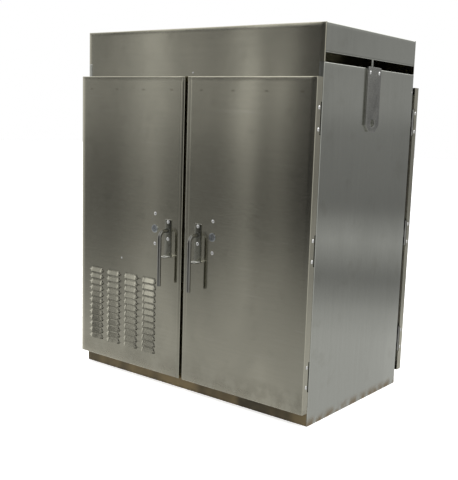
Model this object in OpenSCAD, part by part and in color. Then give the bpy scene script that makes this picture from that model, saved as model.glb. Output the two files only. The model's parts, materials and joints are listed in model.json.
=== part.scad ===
// Free-standing sheet-steel switchboard cabinet with double doors front and rear.
// Millimetres. X to the right seen from the front, Y to the rear, Z up from the floor.
// The origin is the centre of the plinth's anchor holes, on the floor.

/* [Cabinet] */
// Overall width across the side panels
cab_w = 1660; // [1500:10:1900]
// Depth of the side panels, front edge to rear edge
cab_d = 940; // [860:10:1100]
// Overall height above the floor
cab_h = 2000; // [1960:10:2200]
// Thickness of the folded sheet
sheet = 2; // [1.5:0.5:2.5]
// Height of the plinth, and of the doors' lower edge
plinth_h = 73; // [70:1:80]
// Top edge of the side panels
panel_top = 1815; // [1805:1:1825]
// Height of the open vent between side panel and canopy
vent_h = 45; // [30:1:60]

/* [Doors] */
// Top edge of the doors
door_top = 1744; // [1740:1:1748]
// Depth of a door, from its face to the edge of its returns
door_depth = 47; // [45:1:50]
// Space between the returns and the plane of the frame
door_standoff = 5; // [4:0.5:6]
// Gap between the two doors of a pair
mid_gap = 22; // [18:1:26]
// Outside bend radius of a folded edge
fold_r = 4; // [3:0.5:5]
// Distance that the rear frame stands behind the side panels
rear_step = 22; // [18:1:24]

/* [Louvres] */
// Columns of louvres in the left front door
louvre_cols = 4; // [1:1:4]
// Rows of louvres
louvre_rows = 12; // [1:1:12]
// Width of one louvre
louvre_w = 105; // [80:1:110]
// Distance between columns
louvre_pitch_x = 146; // [130:1:150]
// Distance between rows
louvre_pitch_z = 37.4; // [34:0.1:40]
// Height of one louvre
louvre_h = 27; // [20:1:30]
// How far a louvre stands out
louvre_out = 9; // [6:1:12]

/* [Handles] */
// Lever bar diameter
bar_d = 22; // [18:1:24]
// Height of the lever's spindle
spindle_z = 905; // [880:1:930]
// Distance from the cabinet's mid-line to the spindle
spindle_x = 110; // [105:1:125]
// Distance from the door face to the bar's axis
bar_out = 68; // [60:1:75]
// Height of the hanging end of the bar
bar_end_z = 600; // [560:1:650]
// Distance from the cabinet's mid-line to the lock
lock_x = 212; // [200:1:230]

/* [Lifting lugs] */
// Width of the strap
lug_w = 135; // [120:1:150]
// Thickness of the strap
lug_t = 12; // [10:1:15]
// Radius of the lifting eye
lug_eye_r = 20; // [15:0.5:22]

/* [Hidden] */
$fn = 48;
half_w = cab_w / 2;
half_d = cab_d / 2;
eps = 0.5;                            // how far a cutter runs past a face

door_h = door_top - plinth_h;
door_w = half_w - mid_gap / 2;
face_y = -(door_standoff + door_depth);   // door face, from the frame plane
door_in_y = face_y + sheet;               // inner side of the door's sheet
frame_back = 40;                          // depth of the frame's box sections
frame_t = 3;                              // their wall
post_w = 57;
centre_post_w = 150;
weld = 0.4;                               // weld gap between members of one frame
head_z0 = 1650;
sill_top = 162;
front_post_in = 2.5;                      // posts of a frame, in from the panel's outer face
rear_post_in = 18;
front_head_top = 1706;
rear_head_top = 1740;
panel_flange = 25;                        // side panel's flanges at the front and the top
rear_flange = 15;                         // and at the rear, narrow to pass the rear posts
fit_gap = 1;                              // between the side panels and what fits between them
between_w = cab_w - 2 * (sheet + panel_flange + fit_gap);   // free width between the flanges
plinth_gap = 3;                           // between the plinth and each side panel
plinth_w = cab_w - 2 * (sheet + plinth_gap);

louvre_z0 = 176.5;                        // lower edge of the lowest louvre
louvre_last_x = -half_w + 577;            // middle of the column nearest the door's free edge
louvre_border = 20;                       // louvred panel's margin round the louvres
rivet_at = [-478, 702];                   // lone rivet above the louvres, X and Z

hinge_z = [265, 906, 1548];
pivot_in = 8.5;                           // hinge pivot, in from the outer face
pivot_out = 12;                           // hinge pivot, out from the frame plane
pin_r = 3;
run_gap = 0.06;                           // radial running clearance
knuckle_r = 6;
knuckle_len = 48;
knuckle_gap = 1;
leaf_t = 3;
leaf_h = 150;
web_x = 3;                                // web of a fixed leaf, inwards of the pivot
web_t = 5;
fixed_leaf_w = 23;
notch_h = 158;
notch_y = -14;                            // front end of the notch in a return

bolt_r = 4;
bolt_gap = 0.25;
dome_r = 10;
dome_h = 4.5;
small_dome_r = 5;
small_dome_h = 2.5;
small_r = 2.25;
shank_past = 1;                           // shank's end, past the last sheet it holds
header_screw_z = 1765;
panel_screw = [12, 1716];                 // in from the panel's rear edge, and height
hinge_bolt_dz = 52;
hinge_bolt_y = -26;
leaf_y = hinge_bolt_y - dome_r;           // front edge of a moving leaf

ring_in_x = 30;                           // stiffener's distance from the door's sides
ring_in_z = 40;                           // and from its top and bottom
ring_w = 25;
ring_back_y = -12.4;
rail_z = [665, 1240];
seal_in = 5;                              // seal strip, in from both edges of the ring
seal_gap = 0.4;

plate_w = 50;
plate_t = 3;
plate_z0 = 757;
plate_z1 = 966;
plate_bolt_dz = 47.5;
tab_t = 4;
tab_out = 53;
slot_r = 7;
slot_half = 5;
bend_r = 35;
spindle_gap = 1;                          // round the spindle, in the door's sheet

cam_y = -47.5;
cam_t = 5;
cam_r = 30;
neck_r = 8;
crank_r = 20;
crank_off = crank_r * cos(45);
crank_pin_r = 4;
crank_pin_root = 1;                       // pin's length inside the disc
crank_pin_past = 2;                       // and past the yoke
tongue_w = 30;
tongue_len = 53;
yoke_y = -38;
yoke_t = 5;
yoke_x = 2;                               // yoke's edge, from the spindle's axis
yoke_w = 29;
yoke_h = 24;
yoke_slot_x = 9.5;
yoke_slot_w = 15.5;
pin_play = 1.4;                           // above and below a crank pin in its slot
rod_r = 6;
rod_y = -35.5;
rod_gap = 0.3;
rod_end = 12;                             // rod's tip, from the edge of the door
keeper_in_z = 20;
keeper_w = 40;
keeper_d = 44;
keeper_play = 2;

lock_r = 23;
lock_t = 7;
lock_slot = [4, 24, 3];
lock_shank = 14;                          // shank's length inside the sheet
lock_finger = [16, 46, 4];
lock_finger_y = 8;                        // finger, behind the sheet
lock_bolt_dz = 85;

rib_t = 3;                                // plinth and plate thickness
anchor_x = 760;
anchor_y = 450;
anchor_r = 7;

gland_w = 500;
gland_d = 200;
gland_y = -180;
gland_r = 31.75;
gland_lip = 25;                           // plate's overlap on the base pan
gland_x = [-160, 0, 160];

lug_z0 = 1490;
lug_z1 = 1822;
lug_eye_z = 1535;
lug_bolt_z = 1793;
lug_bolt_y = 46;
lug_tip_w = 66;
lug_chamfer = 35;

pan_w = 1300;
pan_z0 = 250;
pan_z1 = 1600;
pan_y = 40;
busbar_z = [1370, 1430, 1490, 1550];
busbar_len = 1100;
busbar_t = 8;
busbar_w = 30;
support_w = 40;
support_d = 52;
support_in = 60;                          // outer supports, in from the busbars' ends
rail_w = 40;
rail_d = 30;
rail_in = 60;                             // rail's inner side, in from the pan's edge
switch_size = [240, 140, 300];
switch_z = 1020;
shaft_r = 8;
shaft_len = 15;
skirt_r = 38;
skirt_t = 14;
skirt_gap = 0.3;
grip = [22, 96, 20];
breaker_size = [140, 100, 230];
breaker_x = [-430, 430];
breaker_z = 1050;
pocket = [28, 24, 48];                    // breaker's pocket for its toggle
toggle_y = 12;                            // toggle's axis, behind the breaker's face
toggle_pin_r = 3;
toggle_pin_len = 36;
toggle_pin_root = 2;                      // hole past each end of the pin
toggle_r = 8;
toggle_w = 24;
toggle_bar = [18, 34, 8];
toggle_tilt = 16;
canopy_post_w = 18;

// ---- placing: a door set is drawn for the front left door, on the frame plane y = 0 ----

module front_left() translate([0, -half_d, 0]) children();
module front_right() front_left() mirror([1, 0, 0]) children();
module rear_plane() translate([0, half_d + rear_step, 0]) rotate([0, 0, 180]) children();
module rear_right() rear_plane() children();
module rear_left() rear_plane() mirror([1, 0, 0]) children();
module both_sides() {
    children();
    mirror([1, 0, 0]) children();
}
module along_y(y0) translate([0, y0, 0]) rotate([-90, 0, 0]) children();   // z axis turned to +Y

// ---- shared shapes ----

// Spherical cap standing on z = 0
module dome(r, h) {
    ball = (r * r + h * h) / (2 * h);
    intersection() {
        translate([0, 0, h - ball]) sphere(ball);
        cylinder(r = r, h = h);
    }
}

// Dome-headed bolt: the head stands out along -Z, the shank runs along +Z
module dome_bolt(shank, r = dome_r, h = dome_h, shank_r = bolt_r) {
    mirror([0, 0, 1]) dome(r, h);
    cylinder(r = shank_r, h = shank);
}

// Small dome-headed screw or rivet, and the hole for it
module small_screw() dome_bolt(sheet + shank_past, small_dome_r, small_dome_h, small_r);
module small_hole() translate([0, 0, -eps]) cylinder(r = small_r + bolt_gap, h = 2 * sheet);

// Plan outline of a folded pan, its two front corners rounded
module fold_outline(w, d, r) {
    translate([0, r]) square([w, d - r]);
    translate([r, 0]) square([w - 2 * r, 2 * r]);
    for (x = [r, w - r]) translate([x, r]) circle(r);
}

// Rectangular box section standing on its corner, open at both ends, along Z
module box_section(size, t) {
    difference() {
        cube(size);
        translate([t, t, -eps]) cube([size[0] - 2 * t, size[1] - 2 * t, size[2] + 2 * eps]);
    }
}

// The same section along X
module box_section_x(size, t) {
    difference() {
        cube(size);
        translate([-eps, t, t]) cube([size[0] + 2 * eps, size[1] - 2 * t, size[2] - 2 * t]);
    }
}

// Flat ring in the XZ plane, from corner to corner, w wide and from y0 to y1
module ring(x0, x1, z0, z1, w, y0, y1) {
    difference() {
        translate([x0, y0, z0]) cube([x1 - x0, y1 - y0, z1 - z0]);
        translate([x0 + w, y0 - eps, z0 + w])
            cube([x1 - x0 - 2 * w, y1 - y0 + 2 * eps, z1 - z0 - 2 * w]);
    }
}

// ---- door parts, drawn for the front left door ----

// One louvre in section: u is outward when negative, v is up
module hood_section(t) {
    arc_r = (louvre_h * louvre_h + louvre_out * louvre_out) / (2 * louvre_out);
    intersection() {
        translate([arc_r - louvre_out, 0]) circle(arc_r - t, $fn = 180);
        translate([-louvre_out, 0]) square([louvre_out + sheet + (t > 0 ? eps : 0), louvre_h]);
    }
}

// A column of louvre sections along X, w wide, as solid (t = 0) or as its cutter (t > 0)
module hood_column(w, t) {
    rotate([90, 0, 90]) translate([0, 0, -w / 2]) linear_extrude(w)
        for (row = [0 : louvre_rows - 1])
            translate([face_y, louvre_z0 + row * louvre_pitch_z]) hood_section(t);
}

module each_louvre_column() {
    for (col = [0 : louvre_cols - 1])
        translate([louvre_last_x - col * louvre_pitch_x, 0, 0]) children();
}

module door_pan() {
    difference() {
        translate([-half_w, face_y, plinth_h]) linear_extrude(door_h)
            fold_outline(door_w, door_depth, fold_r);
        translate([-half_w + sheet, door_in_y, plinth_h + sheet]) linear_extrude(door_h - 2 * sheet)
            fold_outline(door_w - 2 * sheet, door_depth, fold_r - sheet);
    }
}

// Holes through the sheet: hinge notches, hinge bolts, spindle, handle bolts and the lock
module door_holes(lockable) {
    for (z = hinge_z) {
        translate([-half_w - eps, notch_y, z - notch_h / 2]) cube([sheet + 2 * eps, -notch_y, notch_h]);
        for (dz = [-hinge_bolt_dz, hinge_bolt_dz])
            translate([-half_w - eps, hinge_bolt_y, z + dz]) rotate([0, 90, 0])
                cylinder(r = bolt_r + bolt_gap, h = 2 * sheet);
    }
    along_y(face_y - eps) translate([-spindle_x, -spindle_z, 0]) {
        cylinder(r = bar_d / 2 + spindle_gap, h = 2 * sheet);
        for (dz = [-plate_bolt_dz, plate_bolt_dz])
            translate([0, dz, 0]) cylinder(r = bolt_r + bolt_gap, h = 2 * sheet);
    }
    if (lockable)
        along_y(face_y - eps) translate([-lock_x, -spindle_z, 0]) {
            cylinder(r = bar_d / 2 + run_gap, h = 2 * sheet);
            for (dz = [-lock_bolt_dz, lock_bolt_dz])
                translate([0, dz, 0]) cylinder(r = bolt_r + bolt_gap, h = 2 * sheet);
        }
}

// Sheet that the louvres are pressed into, or its cutter (over > 0)
module louvre_field(over) {
    x0 = louvre_last_x - (louvre_cols - 1) * louvre_pitch_x - louvre_w / 2 - louvre_border;
    x1 = louvre_last_x + louvre_w / 2 + louvre_border;
    z1 = louvre_z0 + (louvre_rows - 1) * louvre_pitch_z + louvre_h + louvre_border;
    translate([x0, face_y - over, louvre_z0 - louvre_border])
        cube([x1 - x0, sheet + 2 * over, z1 - louvre_z0 + louvre_border]);
}

module louvre_panel() {
    color("gainsboro")
        difference() {
            union() {
                louvre_field(0);
                each_louvre_column() hood_column(louvre_w, 0);
            }
            each_louvre_column() hood_column(louvre_w - 2 * sheet, sheet);
        }
}

module door_skin(louvred, lockable) {
    color("lightgray")
        difference() {
            door_pan();
            if (louvred) louvre_field(eps);
            if (louvred) along_y(face_y) translate([rivet_at[0], -rivet_at[1], 0]) small_hole();
            door_holes(lockable);
        }
}

// Welded stiffener: a ring of channel and two rails, open towards the sheet
module door_frame() {
    x0 = -half_w + ring_in_x;
    x1 = -mid_gap / 2 - ring_in_x;
    z0 = plinth_h + ring_in_z;
    z1 = door_top - ring_in_z;
    wall = sheet;
    rail_x = x0 + ring_w - wall;
    rail_len = x1 - x0 - 2 * (ring_w - wall);
    color("silver")
        difference() {
            union() {
                ring(x0, x1, z0, z1, ring_w, door_in_y, ring_back_y);
                for (z = rail_z)
                    translate([rail_x, door_in_y, z]) cube([rail_len, ring_back_y - door_in_y, ring_w]);
            }
            ring(x0 + wall, x1 - wall, z0 + wall, z1 - wall, ring_w - 2 * wall,
                door_in_y - eps, ring_back_y - wall);
            for (z = rail_z)
                translate([rail_x + wall, door_in_y - eps, z + wall])
                    cube([rail_len - 2 * wall, ring_back_y - door_in_y - wall + eps, ring_w - 2 * wall]);
            for (side = [1, -1])
                translate([-spindle_x + side * crank_off, rod_y, spindle_z + (side > 0 ? 0 : -door_top)])
                    cylinder(r = rod_r + rod_gap, h = door_top);
        }
}

// Moving leaves: a knuckle above and below the fixed one, and a leaf along the return
module hinge_leaves() {
    color("gray")
        for (z = hinge_z)
            difference() {
                for (side = [0, 1]) translate([0, 0, z]) mirror([0, 0, side]) {
                    translate([-half_w + pivot_in, -pivot_out, knuckle_len / 2 + knuckle_gap])
                        cylinder(r = knuckle_r, h = knuckle_len);
                    translate([-half_w + sheet, leaf_y, knuckle_len / 2 + knuckle_gap])
                        cube([leaf_t, -pivot_out - leaf_y, knuckle_len]);
                }
                translate([-half_w + pivot_in, -pivot_out, z - leaf_h / 2])
                    cylinder(r = pin_r + run_gap, h = leaf_h);
                for (dz = [-hinge_bolt_dz, hinge_bolt_dz])
                    translate([-half_w, hinge_bolt_y, z + dz]) rotate([0, 90, 0])
                        cylinder(r = bolt_r + bolt_gap, h = 3 * leaf_t);
            }
}

module door_bolts(lockable, riveted = false) {
    color("whitesmoke") {
        for (z = hinge_z, dz = [-hinge_bolt_dz, hinge_bolt_dz])
            translate([-half_w, hinge_bolt_y, z + dz]) rotate([0, 90, 0])
                dome_bolt(sheet + leaf_t + shank_past);
        along_y(face_y - plate_t) translate([-spindle_x, -spindle_z, 0])
            for (dz = [-plate_bolt_dz, plate_bolt_dz])
                translate([0, dz, 0]) dome_bolt(plate_t + sheet + shank_past);
        if (lockable)
            along_y(face_y) translate([-lock_x, -spindle_z, 0])
                for (dz = [-lock_bolt_dz, lock_bolt_dz])
                    translate([0, dz, 0]) dome_bolt(sheet + shank_past);
        if (riveted)
            along_y(face_y) translate([rivet_at[0], -rivet_at[1], 0]) small_screw();
    }
}

// Back plate with a tab folded out under it, slotted for a padlock
module handle_plate() {
    color("dimgray")
        difference() {
            union() {
                translate([-spindle_x - plate_w / 2, face_y - plate_t, plate_z0])
                    cube([plate_w, plate_t, plate_z1 - plate_z0]);
                translate([-spindle_x - plate_w / 2, face_y - tab_out, plate_z0])
                    cube([plate_w, tab_out, tab_t]);
            }
            along_y(face_y - plate_t - eps) translate([-spindle_x, -spindle_z, 0]) {
                cylinder(r = bar_d / 2 + run_gap, h = 2 * plate_t);
                for (dz = [-plate_bolt_dz, plate_bolt_dz])
                    translate([0, dz, 0]) cylinder(r = bolt_r + bolt_gap, h = 2 * plate_t);
            }
            translate([-spindle_x, face_y - tab_out / 2 - plate_t, plate_z0 - eps]) {
                for (dx = [-slot_half, slot_half])
                    translate([dx, 0, 0]) cylinder(r = slot_r, h = 2 * tab_t);
                translate([-slot_half, -slot_r, 0]) cube([2 * slot_half, 2 * slot_r, 2 * tab_t]);
            }
        }
}

// Bent round bar: spindle through the plate, quarter bend, hanging grip
module lever() {
    elbow_y = face_y - bar_out + bend_r;
    color("silver") {
        along_y(elbow_y) translate([-spindle_x, -spindle_z, 0])
            cylinder(r = bar_d / 2, h = cam_y - elbow_y);
        along_y(cam_y) translate([-spindle_x, -spindle_z, 0]) cylinder(r = neck_r, h = cam_t);
        translate([-spindle_x, elbow_y, spindle_z - bend_r]) rotate([90, 0, 90])
            rotate([0, 0, 90]) rotate_extrude(angle = 90) translate([bend_r, 0]) circle(bar_d / 2);
        translate([-spindle_x, face_y - bar_out, bar_end_z])
            cylinder(r = bar_d / 2, h = spindle_z - bend_r - bar_end_z);
    }
}

// Disc on the spindle with two crank pins, half a turn apart
module latch_cam() {
    pin_end = yoke_y + yoke_t + crank_pin_past;
    color("goldenrod")
        along_y(cam_y) translate([-spindle_x, -spindle_z, 0]) {
            difference() {
                cylinder(r = cam_r, h = cam_t);
                translate([0, 0, -eps]) cylinder(r = neck_r + run_gap, h = cam_t + 2 * eps);
            }
            for (side = [1, -1])
                translate([side * crank_off, -side * crank_off, cam_t - crank_pin_root])
                    cylinder(r = crank_pin_r, h = pin_end - cam_y - cam_t + crank_pin_root);
        }
}

// Latch rod with a slotted yoke that a crank pin drives; side is 1 for the upper rod, -1 for the lower
module latch_rod(side) {
    yoke_z = spindle_z + side * crank_off;
    tip_z = side > 0 ? door_top - rod_end : plinth_h + rod_end;
    color("lightsteelblue")
        translate([-spindle_x, 0, yoke_z]) rotate([0, side > 0 ? 0 : 180, 0]) {
            difference() {
                translate([yoke_x, yoke_y, -yoke_h / 2]) cube([yoke_w, yoke_t, yoke_h]);
                translate([yoke_slot_x, yoke_y - eps, -crank_pin_r - pin_play])
                    cube([yoke_slot_w, yoke_t + 2 * eps, 2 * (crank_pin_r + pin_play)]);
            }
            translate([crank_off, rod_y, yoke_h / 2 - eps])
                cylinder(r = rod_r, h = abs(tip_z - yoke_z) - yoke_h / 2 + eps);
        }
}

// Quarter-turn lock: slotted disc outside, shank through the sheet, finger inside
module lock() {
    color("gainsboro")
        along_y(face_y) translate([-lock_x, -spindle_z, 0]) {
            difference() {
                translate([0, 0, -lock_t]) cylinder(r = lock_r, h = lock_t - run_gap);
                translate([-lock_slot[0] / 2, -lock_slot[1] / 2, -lock_t - eps])
                    cube(lock_slot + [0, 0, eps]);
            }
            translate([0, 0, -lock_t / 2]) cylinder(r = bar_d / 2, h = lock_t / 2 + sheet + lock_shank);
            translate([-lock_finger[0] / 2, -lock_finger[0] / 2, sheet + lock_finger_y])
                cube(lock_finger);
        }
}

// Rear latch: a tongue on the spindle that points to the centre post
module latch_tongue() {
    color("goldenrod")
        along_y(cam_y) translate([-spindle_x, -spindle_z, 0])
            difference() {
                translate([-tongue_w / 2, -tongue_w / 2, 0]) cube([tongue_len, tongue_w, cam_t]);
                translate([0, 0, -eps]) cylinder(r = neck_r + run_gap, h = cam_t + 2 * eps);
            }
}

// ---- carcass ----

module plinth_channel(len) {
    difference() {
        translate([-len / 2, 0, 0]) cube([len, frame_back, plinth_h]);
        translate([-len / 2 - eps, rib_t, rib_t]) cube([len + 2 * eps, frame_back, plinth_h - 2 * rib_t]);
    }
}

module plinth() {
    side_len = cab_d - 2 * frame_back - 2 * eps;
    color("darkkhaki") {
        difference() {
            for (turn = [0, 180]) rotate([0, 0, turn]) translate([0, -half_d, 0]) plinth_channel(plinth_w);
            for (x = [-anchor_x, anchor_x], y = [-anchor_y, anchor_y])
                translate([x, y, -eps]) cylinder(r = anchor_r, h = 2 * rib_t);
        }
        for (turn = [90, 270]) rotate([0, 0, turn]) translate([0, -plinth_w / 2, 0]) plinth_channel(side_len);
    }
}

module at_panel_screw()
    translate([half_w, half_d - panel_screw[0], panel_screw[1]]) rotate([0, -90, 0]) children();

// Side panel with a narrow flange folded in at the front and the rear, above the plinth, and at the top
module side_panel() {
    front_w = panel_flange + sheet;
    rear_w = rear_flange + sheet;
    flange_h = panel_top - plinth_h;
    color("darkgray")
        difference() {
            union() {
                translate([half_w - sheet, -half_d, 0]) cube([sheet, cab_d, panel_top]);
                translate([half_w - front_w, -half_d, plinth_h]) cube([front_w, sheet, flange_h]);
                translate([half_w - rear_w, half_d - sheet, plinth_h]) cube([rear_w, sheet, flange_h]);
                translate([half_w - front_w, -half_d, panel_top - sheet]) cube([front_w, cab_d, sheet]);
            }
            for (y = [-lug_bolt_y, lug_bolt_y])
                translate([half_w - 2 * sheet, y, lug_bolt_z]) rotate([0, 90, 0])
                    cylinder(r = bolt_r + bolt_gap, h = 4 * sheet);
            at_panel_screw() small_hole();
        }
}

// Frame of a pair of doors on its plane: posts, head, sill and centre post, each a box section
module door_surround(post_in, head_top) {
    inner = half_w - post_in - post_w;
    y0 = sheet;
    color("silver") {
        both_sides() translate([inner, y0, plinth_h + sheet])
            box_section([post_w, frame_back, head_top - plinth_h - sheet], frame_t);
        translate([-inner + weld, y0, head_z0])
            box_section_x([2 * (inner - weld), frame_back, head_top - head_z0], frame_t);
        translate([-inner + weld, y0, plinth_h + sheet])
            box_section_x([2 * (inner - weld), frame_back, sill_top - plinth_h - sheet], frame_t);
        translate([-centre_post_w / 2, y0, sill_top + weld])
            box_section([centre_post_w, frame_back, head_z0 - sill_top - 2 * weld], frame_t);
    }
}

// Notched keeper that a rod's tip stands in; the notch is open to the front
module keeper(z, back) {
    notch_r = rod_r + keeper_play;
    difference() {
        translate([-keeper_w / 2, -keeper_d, z]) cube([keeper_w, keeper_d + back, frame_t]);
        translate([0, rod_y, z - eps]) cylinder(r = notch_r, h = 2 * frame_t);
        translate([-notch_r, -keeper_d - eps, z - eps])
            cube([2 * notch_r, keeper_d + rod_y + eps, 2 * frame_t]);
    }
}

module front_frame() {
    front_left() {
        door_surround(front_post_in, front_head_top);
        color("silver")
            for (side = [-1, 1]) {
                translate([side * (spindle_x - crank_off), 0, 0])
                    keeper(door_top - keeper_in_z - frame_t, 0);
                translate([side * (spindle_x + crank_off), 0, 0])
                    keeper(plinth_h + keeper_in_z, sheet - weld);
            }
    }
}

module rear_frame() rear_plane() door_surround(rear_post_in, rear_head_top);

// Four rubber strips round one door opening
module seal_strips() {
    x0 = -half_w + ring_in_x + seal_in;
    x1 = -mid_gap / 2 - ring_in_x - seal_in;
    z0 = plinth_h + ring_in_z + seal_in;
    z1 = door_top - ring_in_z - seal_in;
    ring(x0, x1, z0, z1, ring_w - 2 * seal_in, ring_back_y + seal_gap, sheet);
}

module door_seals() {
    color("black") {
        front_left() both_sides() seal_strips();
        rear_plane() both_sides() seal_strips();
    }
}

module base_pan() {
    color("darkkhaki")
        difference() {
            translate([-half_w + 2 * sheet, -half_d + sheet, plinth_h])
                cube([cab_w - 4 * sheet, cab_d - 2 * sheet, sheet]);
            translate([-gland_w / 2 + gland_lip, gland_y - gland_d / 2 + gland_lip, plinth_h - eps])
                cube([gland_w - 2 * gland_lip, gland_d - 2 * gland_lip, 2 * sheet]);
        }
}

module gland_plate() {
    color("gainsboro")
        difference() {
            translate([-gland_w / 2, gland_y - gland_d / 2, plinth_h + sheet])
                cube([gland_w, gland_d, rib_t]);
            for (x = gland_x)
                translate([x, gland_y, plinth_h]) cylinder(r = gland_r, h = 4 * rib_t);
        }
}

module roof_deck() {
    color("darkgray")
        translate([-half_w + 2 * sheet, -half_d + 2 * sheet, panel_top - 2 * sheet])
            cube([cab_w - 4 * sheet, cab_d - 4 * sheet, sheet]);
}

// Fascia: full width over the side panels, narrower where it hangs between them
module end_fascia(bottom) {
    color("lightgray") {
        difference() {
            union() {
                translate([-half_w, -half_d, panel_top + fit_gap])
                    cube([cab_w, sheet, cab_h - panel_top - fit_gap]);
                translate([-between_w / 2, -half_d, bottom])
                    cube([between_w, sheet, panel_top + 2 * fit_gap - bottom]);
            }
            along_y(-half_d) translate([0, -header_screw_z, 0]) small_hole();
        }
    }
}

module canopy_front_fascia() end_fascia(front_head_top + fit_gap);
module canopy_rear_fascia() rotate([0, 0, 180]) end_fascia(rear_head_top + 2 * fit_gap);

// Side fascias, with the slim post that carries each at mid-depth
module canopy_side_fascias() {
    color("darkgray")
        both_sides() {
            translate([half_w - sheet, -half_d + sheet, panel_top + vent_h])
                cube([sheet, cab_d - 2 * sheet, cab_h - panel_top - vent_h]);
            translate([half_w - 4 * sheet, -half_d + sheet, panel_top + vent_h])
                cube([4 * sheet, cab_d - 2 * sheet, sheet]);
            translate([half_w - 5 * sheet, -canopy_post_w / 2, panel_top])
                cube([2 * sheet, canopy_post_w, cab_h - panel_top - sheet]);
        }
}

module canopy_top() {
    color("lightgray")
        translate([-half_w + sheet, -half_d + sheet, cab_h - sheet])
            cube([cab_w - 2 * sheet, cab_d - 2 * sheet, sheet]);
}

// Strap lug hung from two bolts, its eye downwards
module lifting_lug() {
    tip = lug_tip_w / 2;
    color("silver")
        translate([half_w, 0, 0]) rotate([90, 0, 90])
            linear_extrude(lug_t)
                difference() {
                    polygon([
                        [-tip, lug_z0], [tip, lug_z0],
                        [lug_w / 2, lug_z0 + lug_chamfer], [lug_w / 2, lug_z1],
                        [-lug_w / 2, lug_z1], [-lug_w / 2, lug_z0 + lug_chamfer],
                    ]);
                    translate([0, lug_eye_z]) circle(lug_eye_r);
                    for (y = [-lug_bolt_y, lug_bolt_y])
                        translate([y, lug_bolt_z]) circle(bolt_r + bolt_gap);
                }
}

module lifting_lugs() both_sides() lifting_lug();

module case_fasteners() {
    color("whitesmoke") {
        both_sides()
            for (y = [-lug_bolt_y, lug_bolt_y])
                translate([half_w + lug_t, y, lug_bolt_z]) rotate([0, -90, 0]) dome_bolt(lug_t + sheet + shank_past);
        both_sides() at_panel_screw() small_screw();
        for (turn = [0, 180])
            rotate([0, 0, turn]) along_y(-half_d) translate([0, -header_screw_z, 0]) small_screw();
    }
}

module each_hinge() {
    front_left() both_sides() for (z = hinge_z) translate([-half_w + pivot_in, -pivot_out, z]) children();
    rear_plane() both_sides() for (z = hinge_z) translate([-half_w + pivot_in, -pivot_out, z]) children();
}

module hinge_pins() {
    color("gray") each_hinge() translate([0, 0, -leaf_h / 2]) cylinder(r = pin_r, h = leaf_h);
}

// Fixed knuckle with its web and a leaf flat on the frame; back is how far it reaches behind the plane
module fixed_leaf(back) {
    translate([0, 0, -knuckle_len / 2])
        difference() {
            union() {
                cylinder(r = knuckle_r, h = knuckle_len);
                translate([web_x, -leaf_t, 0]) cube([web_t, pivot_out, knuckle_len]);
                translate([web_x, pivot_out - leaf_t, 0])
                    cube([fixed_leaf_w, leaf_t + back, knuckle_len]);
            }
            translate([0, 0, -eps]) cylinder(r = pin_r + run_gap, h = knuckle_len + 2 * eps);
        }
}

module fixed_hinge_leaves() {
    color("gray") {
        front_left() both_sides()
            for (z = hinge_z) translate([-half_w + pivot_in, -pivot_out, z]) fixed_leaf(0);
        rear_plane() both_sides()
            for (z = hinge_z) translate([-half_w + pivot_in, -pivot_out, z]) fixed_leaf(sheet);
    }
}

// ---- switchgear ----

// Mounting pan, welded to two rails that stand between the base pan and the roof
module mounting_pan() {
    color("gold") {
        translate([-pan_w / 2, pan_y - rib_t, pan_z0]) cube([pan_w, rib_t, pan_z1 - pan_z0]);
        both_sides()
            translate([pan_w / 2 - rail_in, pan_y, plinth_h + sheet])
                box_section([rail_w, rail_d, panel_top - plinth_h - 3 * sheet], sheet);
    }
}

module busbars() {
    color("peru")
        for (z = busbar_z)
            translate([-busbar_len / 2, pan_y - rib_t - support_d - busbar_t, z - busbar_w / 2])
                cube([busbar_len, busbar_t, busbar_w]);
}

module busbar_supports() {
    z0 = busbar_z[0] - busbar_w;
    z1 = busbar_z[3] + busbar_w;
    color("firebrick")
        for (x = [-busbar_len / 2 + support_in, 0, busbar_len / 2 - support_in])
            translate([x - support_w / 2, pan_y - rib_t - support_d, z0])
                cube([support_w, support_d, z1 - z0]);
}

module at_switch_front() translate([0, pan_y - rib_t - switch_size[1], switch_z]) children();

module main_switch_body() {
    color("dimgray")
        at_switch_front()
            difference() {
                translate([-switch_size[0] / 2, 0, -switch_size[2] / 2]) cube(switch_size);
                rotate([-90, 0, 0]) translate([0, 0, -eps])
                    cylinder(r = shaft_r + run_gap, h = 1.5 * shaft_len);
            }
}

// Rotary handle: shaft, round skirt and a bar grip
module main_switch_handle() {
    color("red")
        at_switch_front() rotate([90, 0, 0]) {
            translate([0, 0, -shaft_len]) cylinder(r = shaft_r, h = shaft_len + 2 * skirt_gap);
            translate([0, 0, skirt_gap]) cylinder(r = skirt_r, h = skirt_t);
            translate([-grip[0] / 2, -grip[1] / 2, skirt_t]) cube(grip);
        }
}

module each_breaker(which) {
    translate([breaker_x[which], pan_y - rib_t - breaker_size[1], breaker_z]) children();
}

module outgoing_breakers() {
    pin_len = toggle_pin_len + 2 * toggle_pin_root;
    color("darkslategray")
        for (i = [0, 1])
            each_breaker(i)
                difference() {
                    translate([-breaker_size[0] / 2, 0, -breaker_size[2] / 2]) cube(breaker_size);
                    translate([-pocket[0] / 2, -eps, -pocket[2] / 2]) cube(pocket);
                    translate([-pin_len / 2, toggle_y, 0]) rotate([0, 90, 0])
                        cylinder(r = toggle_pin_r + run_gap, h = pin_len);
                }
}

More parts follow.
